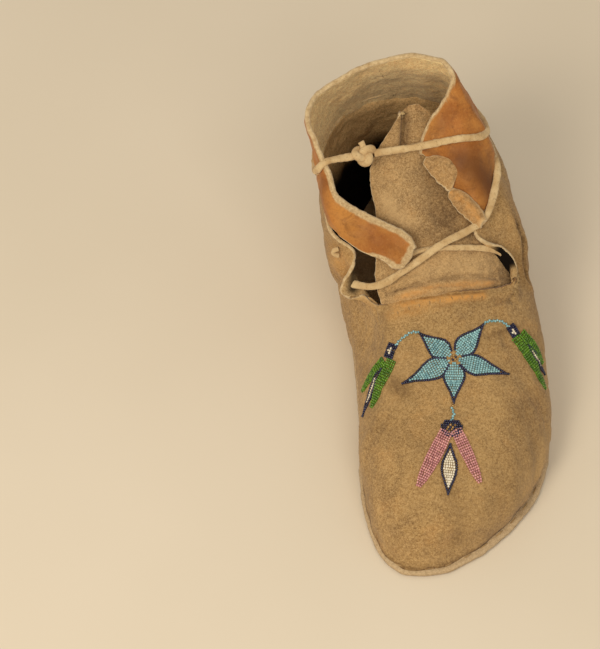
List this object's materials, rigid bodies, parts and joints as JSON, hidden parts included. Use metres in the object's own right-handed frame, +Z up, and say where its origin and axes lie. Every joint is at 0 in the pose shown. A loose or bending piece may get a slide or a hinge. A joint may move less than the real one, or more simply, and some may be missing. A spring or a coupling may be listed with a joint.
{
  "type": "moccasin",
  "caption": "Left ankle moccasin of soft suede with a hide sole, tongue, tied ankle cuff with ochre flaps, leather thong and floral beadwork on the vamp.",
  "frame": {"origin": "middle of the sole's underside, at floor level", "axes": "+Z up, toe towards -Y and heel towards +Y, outer (little-toe) side of the foot towards +X"},
  "size_m": [0.1095, 0.242, 0.1362],
  "materials": {
    "sole_hide": "matt",
    "suede": "matt suede",
    "tongue_suede": "matt suede",
    "cuff_leather": "smooth, soft sheen",
    "thong": "matt",
    "blue_beads": "gloss",
    "navy_beads": "gloss",
    "green_beads": "gloss",
    "pink_beads": "gloss",
    "white_beads": "gloss",
    "gold_beads": "polished",
    "sinew": "matt"
  },
  "bodies": {
    "root": {"sole": "sole_hide", "upper": "suede", "cuff": "cuff_leather", "cuff_flap_right": "cuff_leather", "thong_ankle_turn": "thong", "thong_crossing_strand": "thong", "thong_inner_strand": "thong", "thong_slit_loop": "thong", "thong_knot": "thong", "petal_upper_left": "blue_beads", "petal_upper_right": "blue_beads", "petal_left": "blue_beads", "petal_right": "blue_beads", "petal_lower": "blue_beads", "petal_outline_upper_left": "navy_beads", "petal_outline_upper_right": "navy_beads", "petal_outline_left": "navy_beads", "petal_outline_right": "navy_beads", "petal_outline_lower": "navy_beads", "white_petal_outline": "navy_beads", "green_leaf_left_outer": "green_beads", "green_leaf_left_inner": "green_beads", "green_leaf_right_inner": "green_beads", "green_leaf_right_outer": "green_beads", "slim_leaf_left": "navy_beads", "slim_leaf_right": "navy_beads", "pink_petal_left": "pink_beads", "pink_petal_right": "pink_beads", "white_petal": "white_beads", "stem_left": "blue_beads", "stem_right": "blue_beads", "stem_lower": "blue_beads", "cap_left": "navy_beads", "cap_right": "navy_beads", "cap_lower": "navy_beads", "flower_centre": "gold_beads", "cuff_stitches": "sinew", "heel_stitches": "sinew", "tongue_stitches": "sinew", "sole_stitches": "sinew"},
    "tongue": {"tongue": "tongue_suede"},
    "left_flap": {"cuff_flap_left": "cuff_leather"},
    "right_corner": {"cuff_corner": "cuff_leather"}
  },
  "joints": [
    {"name": "tongue_tilt", "type": "hinge", "parent": "root", "child": "tongue", "pos_m": [0.002, -0.002, 0.0635], "axis": [-1, 0, 0], "range_deg": [0, 12]},
    {"name": "left_flap_swing", "type": "hinge", "parent": "root", "child": "left_flap", "pos_m": [-0.053, 0.0425, 0.09125], "axis": [-0.03, -0.3695, -0.9287], "range_deg": [0, 70]},
    {"name": "corner_fold", "type": "hinge", "parent": "root", "child": "right_corner", "pos_m": [0.007, 0.0445, 0.0998], "axis": [0.6612, -0.6211, -0.4208], "range_deg": [0, 20]}
  ]
}
